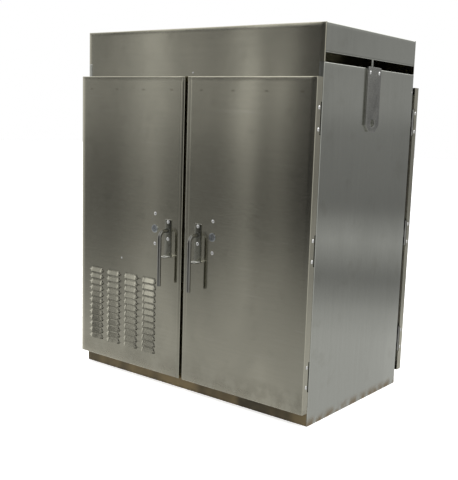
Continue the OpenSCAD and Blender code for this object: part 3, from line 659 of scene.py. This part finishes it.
TAB_OUT, TAB_T, PLATE_T = 0.053, 0.004, 0.003
PADLOCK_R, PADLOCK_HALF = 0.007, 0.005   # slot's end radius, and its end centres from its middle
BAR_R, BAR_BEND, BAR_OUT = 0.011, 0.035, 0.068
BAR_END_Z = 0.600
BAR_LINE_Z = 0.75                        # one ring of points down the straight of the bar
BEND_POINTS = 10
DIMPLE_R, DIMPLE_Z = 0.0024, 0.825
# Radius and height along the axis
COLLAR = [(0.0112, 0.0), (0.0150, 0.0), (0.0154, 0.0006), (0.0154, 0.0024), (0.0148, 0.003),
          (0.0112, 0.003)]
NECK = [(0.008, 0.0), (0.008, 0.0046), (0.0074, 0.0052)]


def louvre_hood(across, up):
    """How far a louvre stands out: a lip along its lower edge, sloping back to the sheet above."""
    end = max(0.0, min(across, 1 - across) - HOOD_TAPER * up ** 2) / HOOD_END
    ends = 1.0 if end >= 1 else math.sqrt(max(0.0, 1 - (1 - end) ** 2))
    return LOUVRE_OUT * ends * (1 - up)


def hood_open(across, up):
    """Whether a louvre is open here: its two ends are lanced, next to the lip."""
    return min(across, 1 - across) < OPEN_END and up < OPEN_UP


def door_skin(door):
    """A door's folded sheet, drawn for the front left door and then placed."""
    louvred = door == "front_left"
    x0, x1 = -HALF_W + FOLD_R, -DOOR_INNER_X - FOLD_R
    z0, z1 = SKIN_LO.z + FOLD_R, SKIN_HI.z - FOLD_R
    notch_edges = [z + s * NOTCH_HALF for z in HINGE_Z for s in (-1, 1)]
    x_lines, z_lines, louvres = [], [], []
    if louvred:
        for x in LOUVRE_X:
            left, right = x - LOUVRE_W / 2, x + LOUVRE_W / 2
            x_lines += [left + LOUVRE_W * part for part in HOOD_STEPS]
            louvres += [(left, right, z, z + LOUVRE_H) for z in LOUVRE_Z]
        z_lines = [z + LOUVRE_H * k / 6 for z in LOUVRE_Z for k in range(7)]
    us = lines(x0, x1, FINE_STEP, x_lines)
    free_edges = [e for e in notch_edges if not near(e, z_lines)]
    vs = lines(z0, z1, FINE_STEP, sorted(z_lines + free_edges))
    sheet = Sheet((0, FACE_Y, 0), (1, 0, 0), (0, 0, 1), us, vs, ("left", "right", "bottom", "top"))
    seed = 10 + DOORS.index(door)
    sheet.face_grid(waves(seed, WAVE / 2, x0, x1, z0, z1), louvres)
    depth = DOOR_BACK_Y - FACE_Y
    notches = [(z - NOTCH_HALF, z + NOTCH_HALF, NOTCH_DEPTH) for z in HINGE_Z]
    rings = bend_rings(depth, (FLANGE_LINE, NOTCH_DEPTH))
    sheet.flange("left", rings, notches)
    for side in ("right", "bottom", "top"):
        sheet.flange(side, rings)
    return sheet.build(f"{door}_door_sheet")


def dome_head(centre, outward, radius, height):
    """A dome bolt's head with a thin flange under it."""
    steps = 7
    flat = 0.0009
    profile = [(radius * 0.99, 0.0), (radius, flat * 0.5), (radius * 0.985, flat)]
    ball = (radius ** 2 + height ** 2) / (2 * height)
    for k in range(1, steps):
        r = radius * 0.96 * (1 - k / steps)
        profile.append((r, max(flat, height - ball + math.sqrt(ball ** 2 - r ** 2))))
    profile.append((radius * 0.04, height - 1e-5))
    obj = lathe("head", profile, 28)
    turn = Vector((0, 0, 1)).rotation_difference(Vector(outward)).to_matrix().to_4x4()
    return transform(obj, Matrix.Translation(centre) @ turn)


def door_bolts(door, lockable):
    """Every visible dome head on a door, as one piece, drawn for the front left door."""
    heads = []
    for z in HINGE_Z:
        for dz in (-HINGE_BOLT_DZ, HINGE_BOLT_DZ):
            centre = (-HALF_W, FACE_Y + HINGE_BOLT_IN, z + dz)
            heads.append(dome_head(centre, (-1, 0, 0), *DOME))
    for dz in (-PLATE_BOLT_DZ, PLATE_BOLT_DZ):
        heads.append(dome_head((SPINDLE_X, FACE_Y - PLATE_T, SPINDLE_Z + dz), FORWARD, *DOME))
    if lockable:
        for dz in (-LOCK_BOLT_DZ, LOCK_BOLT_DZ):
            heads.append(dome_head((LOCK_X, FACE_Y, SPINDLE_Z + dz), FORWARD, *DOME))
    if door == "front_left":
        heads.append(dome_head((RIVET_X, FACE_Y, RIVET_Z), FORWARD, *SMALL_DOME))
    return shade(join(f"{door}_bolt_heads", heads), 50)


def handle_plate(door):
    """A back plate with softened edges, and a tab folded out under it with a padlock slot."""
    r = 0.005                            # rounding of the plate's and the tab's corners
    left, right = SPINDLE_X - PLATE_HALF, SPINDLE_X + PLATE_HALF
    corners = arc((right - r, PLATE_Z1 - r), r, 0, 90, 5) + arc((left + r, PLATE_Z1 - r), r, 90, 180, 5)
    outline = [(left, PLATE_Z0), (right, PLATE_Z0)] + corners
    plate = prism("plate", outline, PLATE_T)
    transform(plate, Matrix.Translation((0, FACE_Y, 0)) @ Matrix.Rotation(math.pi / 2, 4, "X"))
    tab_y = FACE_Y - TAB_OUT
    edge = [(left, FACE_Y), (left, tab_y + r), *arc((left + r, tab_y + r), r, 180, 270, 5),
            *arc((right - r, tab_y + r), r, 270, 360, 5), (right, FACE_Y)]
    tab = prism("tab", edge, TAB_T)
    transform(tab, Matrix.Translation((0, 0, PLATE_Z0)))
    slot_y = FACE_Y - TAB_OUT / 2 - PLATE_T
    slot = (arc((SPINDLE_X + PADLOCK_HALF, slot_y), PADLOCK_R, -90, 90, 10)
            + arc((SPINDLE_X - PADLOCK_HALF, slot_y), PADLOCK_R, 90, 270, 10))
    cutter = prism("slot", slot, 0.02)
    transform(cutter, Matrix.Translation((0, 0, PLATE_Z0 - 0.008)))
    cut(tab, cutter)
    return bevel(join(f"{door}_handle_back_plate", [plate, tab]), 0.0007)


def facing(y, z, x=SPINDLE_X, away=1):
    """Places a lathe's work at x, y, z with its axis to the front, or to the rear if away is -1."""
    return Matrix.Translation((x, y, z)) @ Matrix.Rotation(away * math.pi / 2, 4, "X")


def grip(door):
    """The lever: spindle, quarter bend and hanging bar, with a dimple above its middle."""
    x, axis_y = SPINDLE_X, FACE_Y - BAR_OUT
    bend_y, bend_z = axis_y + BAR_BEND, SPINDLE_Z - BAR_BEND
    points = [(x, CAM_FRONT, SPINDLE_Z), (x, FACE_Y - 0.01, SPINDLE_Z), (x, bend_y, SPINDLE_Z)]
    for k in range(1, BEND_POINTS + 1):
        a = math.pi / 2 * k / BEND_POINTS
        points.append((x, bend_y - BAR_BEND * math.sin(a), bend_z + BAR_BEND * math.cos(a)))
    points += [(x, axis_y, BAR_LINE_Z), (x, axis_y, BAR_END_Z)]
    bar = tube("bar", points, BAR_R)
    dimple = lathe("dimple", [(DIMPLE_R, -0.001), (DIMPLE_R, 0.002)], 16)
    cut(bar, transform(dimple, facing(axis_y - BAR_R, DIMPLE_Z, away=-1)))
    collar = transform(lathe("collar", COLLAR, 32), facing(FACE_Y - PLATE_T - 0.0002, SPINDLE_Z))
    neck = transform(lathe("neck", NECK, 28), facing(CAM_FRONT, SPINDLE_Z, away=-1))
    return shade(join(f"{door}_grip", [bar, collar, neck]), 40)


def lock_disc(door):
    """A slotted quarter-turn disc with a stepped rim."""
    profile = [(0.0225, 0.0), (0.023, 0.0005), (0.023, 0.0048), (0.0222, 0.0058), (0.0190, 0.0062),
               (0.0186, 0.0070), (0.0175, 0.0070), (0.0004, 0.0070)]
    disc = lathe("disc", profile, 48)
    cut(disc, block("slot", (-0.002, -0.012, 0.0035), (0.002, 0.012, 0.01), 0))
    shank = lathe("shank", [(0.0105, -0.0158), (0.011, -0.0153), (0.011, 0.0002)], 28)
    finger = block("finger", (-0.008, -0.038, -0.0140), (0.008, 0.008, -0.0100), 0.0008)
    whole = join(f"{door}_lock_disc", [disc, shank, finger])
    return shade(transform(whole, facing(FACE_Y - 0.0001, SPINDLE_Z, LOCK_X)), 30)


for door in DOORS:
    place = door_matrix(door)
    lockable = door.startswith("front")
    body = f"{door}_door"
    sheets = [f"{door}_door_skin"] + (["front_left_louvre_panel"] if door == "front_left" else [])
    finish_piece(transform(door_skin(door), place), "brushed_front", body, *sheets)
    bolts = transform(door_bolts(door, lockable), place)
    finish_piece(bolts, "dome_bolts", body, f"{door}_door_bolts")
    finish_piece(transform(handle_plate(door), place), "handle_plate_steel", body, f"{door}_handle_plate")
    finish_piece(transform(grip(door), place), "polished_bar", f"{door}_lever", f"{door}_lever")
    if lockable:
        disc = transform(lock_disc(door), place)
        finish_piece(disc, "lock_disc", f"{door}_lock", f"{door}_lock")


# ---- case ----

FRONT_Y = PANEL_LO.y                     # front plane of the case
REAR_Y = PANEL_HI.y
PANEL_TOP = PANEL_HI.z
PLINTH_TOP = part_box("plinth")[1].z
TOP_Z = cad_box[1][2]
FLANGE, REAR_FLANGE = 0.025, 0.015       # side panels' flanges
FIT_GAP = 0.001                          # between the side panels and what fits between them
BETWEEN_X = HALF_W - SHEET - FLANGE - FIT_GAP
CANOPY_FOLD = 0.007                      # depth of the canopy's folds
SIDE_LIP = 0.008                         # and of its side fascias' lower lip
SIDE_IN = 0.008                          # side fascias' ends, in from the front and the rear plane
VENT_H = 0.045                           # slot between a side panel and its fascia
POST_HALF = 0.009                        # canopy post's half width
POST_IN, POST_T = 0.010, 0.004           # its inner face, in from the side, and its thickness
ROOF_T = 0.0015
ROOF_IN = 0.003                          # roof sheet's edge, in from the canopy's
PANEL_WAVE = 0.0006
LUG_T, LUG_TIP_HALF, LUG_CHAMFER = 0.012, 0.033, 0.035
LUG_CORNER = 0.004
LUG_EYE_R, LUG_EYE_Z = 0.020, 1.535
LUG_BOLT_Y, LUG_BOLT_Z = 0.046, 1.793
PANEL_SCREW = (0.458, 1.716)             # Y and Z
HEADER_SCREW_Z = 1.765


def side_panel(side):
    """The right side panel's sheet, mirrored for the left one."""
    us = lines(FRONT_Y + FOLD_R, REAR_Y - FOLD_R, 0.035)
    vs = lines(0.0, PANEL_TOP - FOLD_R, 0.04, (PLINTH_TOP,))
    beside_plinth = [(-1.0, PLINTH_TOP, FOLD_R)]
    sheet = Sheet((HALF_W, 0, 0), (0, 1, 0), (0, 0, 1), us, vs, ("left", "right", "top"))
    seed = 31 if side == "right" else 32
    sheet.face_grid(waves(seed, -PANEL_WAVE / 2, FRONT_Y, REAR_Y, 0, PANEL_TOP))
    sheet.flange("left", bend_rings(FLANGE + SHEET), beside_plinth)
    sheet.flange("right", bend_rings(REAR_FLANGE + SHEET), beside_plinth)
    sheet.flange("top", bend_rings(FLANGE + SHEET))
    panel = sheet.build(f"side_panel_{side}_sheet")
    return transform(panel, Matrix.Diagonal((1 if side == "right" else -1, 1, 1, 1)))


def end_fascia(end):
    """A header's sheet: a fascia over the full width, and a narrower strip between the side panels."""
    low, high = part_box(f"canopy_{end}_fascia")
    seed = 41 if end == "front" else 42
    step_z = PANEL_TOP + FIT_GAP
    us = lines(low.x + FOLD_R, high.x - FOLD_R, 0.035, (-BETWEEN_X, BETWEEN_X))
    vs = lines(low.z, high.z - FOLD_R, 0.02, (step_z,))
    sheet = Sheet((0, FRONT_Y, 0), (1, 0, 0), (0, 0, 1), us, vs, ("left", "right", "top"))
    sheet.face_grid(waves(seed, WAVE / 2, low.x, high.x, low.z, high.z))
    keep = []
    for face in sheet.faces:
        middle = sum((Vector(sheet.verts[k]) for k in face), Vector()) / len(face)
        if middle.z > step_z or abs(middle.x) < BETWEEN_X:
            keep.append(face)
    sheet.faces = keep
    below = [(low.z - 1, step_z, -1.0)]
    sheet.flange("left", bend_rings(CANOPY_FOLD), below)
    sheet.flange("right", bend_rings(CANOPY_FOLD), below)
    sheet.flange("top", bend_rings(CANOPY_FOLD))
    fascia = sheet.build(f"canopy_{end}_sheet")
    return transform(fascia, Matrix.Identity(4) if end == "front" else Matrix.Diagonal((-1, -1, 1, 1)))


def canopy_sides():
    """Both side fascias with their inturned lips, and the slim post under each."""
    lip_z = PANEL_TOP + VENT_H
    us = lines(FRONT_Y + SIDE_IN, REAR_Y - SIDE_IN, FINE_STEP)
    vs = lines(lip_z + FOLD_R, TOP_Z - FOLD_R, 0.02)
    sheet = Sheet((HALF_W, 0, 0), (0, 1, 0), (0, 0, 1), us, vs, ("bottom", "top"))
    sheet.face_grid(waves(51, -WAVE / 2, FRONT_Y, REAR_Y, lip_z, TOP_Z))
    sheet.flange("bottom", bend_rings(SIDE_LIP))
    sheet.flange("top", bend_rings(CANOPY_FOLD))
    right = sheet.build("right")
    post_x = HALF_W - POST_IN
    post = block("post", (post_x, -POST_HALF, PANEL_TOP),
                 (post_x + POST_T, POST_HALF, lip_z + FOLD_R), EDGE_BREAK)
    parts = [right, post]
    parts += [transform(copy_of(part, "twin"), Matrix.Diagonal((-1, 1, 1, 1))) for part in (right, post)]
    return shade(join("canopy_side_sheets", parts), 40)


def canopy_roof():
    """The canopy's top sheet, very slightly crowned under its own weight."""
    low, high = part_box("canopy_top")
    sag = waves(61, -WAVE, low.x, high.x, low.y, high.y)
    us = lines(low.x + ROOF_IN, high.x - ROOF_IN, 2 * FINE_STEP)
    vs = lines(low.y + ROOF_IN, high.y - ROOF_IN, 2 * FINE_STEP)
    sheet = Sheet((0, 0, high.z - WAVE), (1, 0, 0), (0, 1, 0), us, vs, ())
    sheet.face_grid(lambda u, v: max(-WAVE, min(WAVE, sag(u, v))))
    return sheet.build("canopy_roof_sheet", ROOF_T)


def lug_outline():
    """A strap's outline in Y and Z: a chamfered tip below, and rounded corners above."""
    low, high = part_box("lifting_lugs")
    half, r = high.y, LUG_CORNER
    chamfer_z = low.z + LUG_CHAMFER
    top = arc((half - r, high.z - r), r, 0, 90, 5) + arc((-half + r, high.z - r), r, 90, 180, 5)
    return [(-half, chamfer_z), (-LUG_TIP_HALF, low.z), (LUG_TIP_HALF, low.z), (half, chamfer_z)] + top


def lifting_lug(side):
    """A strap lug: thick plate with worn edges and a round eye, its face towards the side."""
    strap = prism("strap", lug_outline(), LUG_T)
    eye = lathe("eye", [(LUG_EYE_R, -0.01), (LUG_EYE_R, 0.03)], 48)
    cut(strap, transform(eye, Matrix.Translation((0, LUG_EYE_Z, 0))))
    bevel(strap, 0.0012, 3)
    turn = Matrix(((0, 0, 1, 0), (1, 0, 0, 0), (0, 1, 0, 0), (0, 0, 0, 1)))
    transform(strap, Matrix.Translation((HALF_W, 0, 0)) @ turn)
    return transform(strap, Matrix.Diagonal((side, 1, 1, 1)))


def case_fasteners():
    """Dome heads of the lug bolts, panel screws and header screws."""
    heads = []
    for side in (-1, 1):
        for y in (-LUG_BOLT_Y, LUG_BOLT_Y):
            centre = (side * (HALF_W + LUG_T), y, LUG_BOLT_Z)
            heads.append(dome_head(centre, (side, 0, 0), *DOME))
        heads.append(dome_head((side * HALF_W, *PANEL_SCREW), (side, 0, 0), *SMALL_DOME))
    for y, out in ((FRONT_Y, -1), (REAR_Y, 1)):
        heads.append(dome_head((0, y, HEADER_SCREW_Z), (0, out, 0), *SMALL_DOME))
    return shade(join("case_bolt_heads", heads), 50)


for side in ("left", "right"):
    finish_piece(side_panel(side), "brushed_side", "carcass", f"side_panel_{side}")
for end in ("front", "rear"):
    finish_piece(end_fascia(end), "brushed_front", "carcass", f"canopy_{end}_fascia")
finish_piece(canopy_sides(), "brushed_side", "carcass", "canopy_side_fascias")
finish_piece(canopy_roof(), "brushed_front", "carcass", "canopy_top")
lugs = join("lifting_lug_straps", [lifting_lug(1), lifting_lug(-1)])
finish_piece(shade(lugs, 40), "lug_steel", "carcass", "lifting_lugs")
finish_piece(case_fasteners(), "dome_bolts", "carcass", "case_fasteners")


# ---- the CAD's own nodes that stay in view ----

slots = {part["node"]: part["material_slot"] for part in frame["record"]["subparts"]}
for name, node in frame["nodes"].items():
    if node.hide_render:
        continue
    node.data.materials.clear()
    node.data.materials.append(MATERIALS[slots[name]])
    node.data.shade_smooth()
    node.data.set_sharp_from_angle(angle=math.radians(30))
    softened = node.modifiers.new("edges", "BEVEL")
    softened.width = EDGE_BREAK
    softened.segments = 2
    softened.limit_method = "ANGLE"
    softened.angle_limit = math.radians(EDGE_ANGLE)


# ---- studio ----

FLOOR_HALF = 30.0
FLOOR_GLOW = 0.45                        # keeps the floor as pale as the surroundings


def studio_floor():
    half = FLOOR_HALF
    corners = [(-half, -half, 0), (half, -half, 0), (half, half, 0), (-half, half, 0)]
    floor = make_object("floor", corners, [(0, 1, 2, 3)])
    g = Graph("floor", metallic=0.0)
    tone = g.noise(0.6, detail=3)
    g.surface(g.blend(tone, (0.93, 0.93, 0.93), (0.96, 0.96, 0.955)), 0.8)
    g.bsdf.inputs["Emission Color"].default_value = (1, 1, 1, 1)
    g.bsdf.inputs["Emission Strength"].default_value = FLOOR_GLOW
    floor.data.materials.append(g.material)
    floor.visible_glossy = False
    return floor


def soft_light(name, place, target, size, power):
    light = bpy.data.lights.new(name, "AREA")
    light.shape = "RECTANGLE"
    light.size, light.size_y = size
    light.energy = power
    obj = bpy.data.objects.new(name, light)
    bpy.context.scene.collection.objects.link(obj)
    obj.location = place
    obj.rotation_euler = (Vector(target) - Vector(place)).to_track_quat("-Z", "Y").to_euler()
    obj.visible_camera = False
    obj.visible_glossy = False
    return obj


class Sky:
    """The studio's surroundings: white to the camera, and soft graded walls in reflections."""

    def __init__(self):
        world = bpy.data.worlds.new("studio")
        bpy.context.scene.world = world
        world.use_nodes = True
        self.tree = world.node_tree
        self.background = self.tree.nodes["Background"]

    def node(self, kind, *inputs, **props):
        node = self.tree.nodes.new(kind)
        for key, value in props.items():
            setattr(node, key, value)
        for socket, value in zip(node.inputs, inputs):
            if isinstance(value, bpy.types.NodeSocket):
                self.tree.links.new(value, socket)
            elif value is not None:
                socket.default_value = value
        return node

    def math(self, operation, *inputs):
        return self.node("ShaderNodeMath", *inputs, operation=operation).outputs[0]

    def step(self, value, low, high):
        return self.node("ShaderNodeMapRange", value, low, high, 0.0, 1.0).outputs["Result"]

    def mix(self, share, a, b, blend="MIX"):
        node = self.node("ShaderNodeMix", data_type="RGBA", blend_type=blend)
        for socket, value in ((node.inputs[0], share), (node.inputs[6], a), (node.inputs[7], b)):
            if isinstance(value, bpy.types.NodeSocket):
                self.tree.links.new(value, socket)
            else:
                socket.default_value = value
        return node.outputs[2]

    def curve(self, value, low, high, stops):
        """Brightness along value: stops are (value, brightness), smoothly joined."""
        ramp = self.node("ShaderNodeValToRGB", self.step(value, low, high))
        ramp.color_ramp.interpolation = "EASE"
        elements = ramp.color_ramp.elements
        for k, (at, bright) in enumerate(stops):
            position = (at - low) / (high - low)
            ends = {0: elements[0], len(stops) - 1: elements[-1]}
            element = ends.get(k) or elements.new(position)
            element.position = position
            element.color = (bright, bright, bright, 1)
        return ramp.outputs["Color"]


# Brightness by elevation in degrees, as the front and the sides see it
FRONT_WALL = [(-90, 0.50), (-22, 0.50), (-16, 0.50), (-12.5, 0.40), (-9.5, 0.21), (-7.5, 0.15), (-3, 0.18),
              (-1, 0.29), (2, 0.46), (6, 0.40), (8, 0.24), (9.5, 0.05), (11, 0.07), (12.5, 0.6), (14, 0.95),
              (24, 1.0), (30, 1.6), (44, 1.5), (56, 0.75), (90, 0.75)]
SIDE_WALL = [(-90, 0.60), (-19, 0.60), (-15.5, 0.61), (-13.7, 0.52), (-12.2, 0.34), (-11, 0.24), (-9.8, 0.36),
             (-8.4, 0.47), (-7.2, 0.34), (-6, 0.22), (-3.5, 0.24), (-1, 0.26), (1.5, 0.36), (7, 0.35),
             (14, 0.50), (24, 1.7), (44, 2.3), (56, 0.75), (90, 0.75)]
# Brightness of what the doors mirror, by degrees round from straight ahead: the left is positive
FRONT_BANDS = [(-90, 0.6), (-20, 0.6), (0, 0.4), (31, 0.2), (33.6, 0.22), (34.4, 0.36),
               (35.3, 0.78), (36.0, 1.05), (37.0, 0.45), (38.2, 1.85), (39.2, 0.80), (40.4, 0.66),
               (42.2, 0.82), (43.4, 0.85), (44.9, 1.75), (46.1, 1.05), (47.6, 0.64), (48.6, 0.68),
               (50, 0.95), (56, 1.1), (70, 1.3), (90, 1.3)]
# Pale side windows, mirrored by the bends: their share of the view by the same degrees
SIDE_WINDOWS = [(-180, 0), (-135, 0), (-112, 0.5), (-90, 0.7), (-62, 0.55), (-32, 0.3), (-12, 0.1),
                (0, 0), (52, 0), (62, 0.9), (116, 0.9), (140, 0.15), (180, 0)]
WINDOW_LIGHT = 0.95
BANDS_FROM = (-17.0, -8.0)               # elevations over which the upright bands come in
SIDE_FROM = (-0.3, 0.1)                  # directions' Y over which the front walls turn to the side's


def studio_walls():
    sky = Sky()
    direction = sky.node("ShaderNodeTexCoord").outputs["Generated"]
    x, y, z = sky.node("ShaderNodeSeparateXYZ", direction).outputs
    degrees = 180 / math.pi
    elevation = sky.math("MULTIPLY", sky.math("ARCSINE", z), degrees)
    ahead = sky.math("MULTIPLY", y, -1.0)
    leftward = sky.math("MULTIPLY", x, -1.0)
    azimuth = sky.math("MULTIPLY", sky.math("ARCTAN2", leftward, ahead), degrees)
    front = sky.curve(elevation, -90, 90, FRONT_WALL)
    side = sky.curve(elevation, -90, 90, SIDE_WALL)
    bands = sky.curve(azimuth, -90, 90, FRONT_BANDS)
    banded = sky.mix(sky.step(elevation, *BANDS_FROM), front, bands, "MULTIPLY")
    walls = sky.mix(sky.step(y, *SIDE_FROM), banded, side)
    windows = sky.curve(azimuth, -180, 180, SIDE_WINDOWS)
    lit = sky.mix(windows, walls, (WINDOW_LIGHT, WINDOW_LIGHT, WINDOW_LIGHT, 1))
    seen = sky.node("ShaderNodeLightPath").outputs["Is Camera Ray"]
    whole = sky.mix(seen, lit, (1, 1, 1, 1))
    sky.tree.links.new(whole, sky.background.inputs["Color"])


CAMERA_AT = (2.9054, -3.6919, 1.5345)
CAMERA_ANGLES = (36.484, 8.916, 2.207)   # degrees: round from the front, down, and roll
CAMERA_LENS = 59.295
CAMERA_SHIFT = (-0.0754, 0.0071)


def photo_camera():
    """The camera at the photograph's viewpoint, solved from the cabinet's edges."""
    azimuth, elevation, roll = (math.radians(a) for a in CAMERA_ANGLES)
    forward = Vector((-math.sin(azimuth) * math.cos(elevation), math.cos(azimuth) * math.cos(elevation),
                      -math.sin(elevation)))
    level = forward.cross(Vector((0, 0, 1))).normalized()
    up = level.cross(forward)
    right = level * math.cos(roll) + up * math.sin(roll)
    upright = up * math.cos(roll) - level * math.sin(roll)
    data = bpy.data.cameras.new("camera")
    data.sensor_width = 36
    data.lens = CAMERA_LENS
    data.shift_x, data.shift_y = CAMERA_SHIFT
    data.clip_end = 200
    obj = bpy.data.objects.new("camera", data)
    bpy.context.scene.collection.objects.link(obj)
    obj.matrix_world = Matrix.Translation(CAMERA_AT) @ Matrix((
        (right.x, upright.x, -forward.x, 0), (right.y, upright.y, -forward.y, 0),
        (right.z, upright.z, -forward.z, 0), (0, 0, 0, 1)))
    bpy.context.scene.camera = obj
    return obj


studio_floor()
studio_walls()
soft_light("overhead", (-0.5, -0.8, 5.5), (0, 0, 0), (5, 4), 260)
soft_light("front_left", (-3.5, -4.5, 3.2), (0, 0, 1), (3, 3), 140)
photo_camera()
bpy.context.scene.view_settings.view_transform = "Standard"
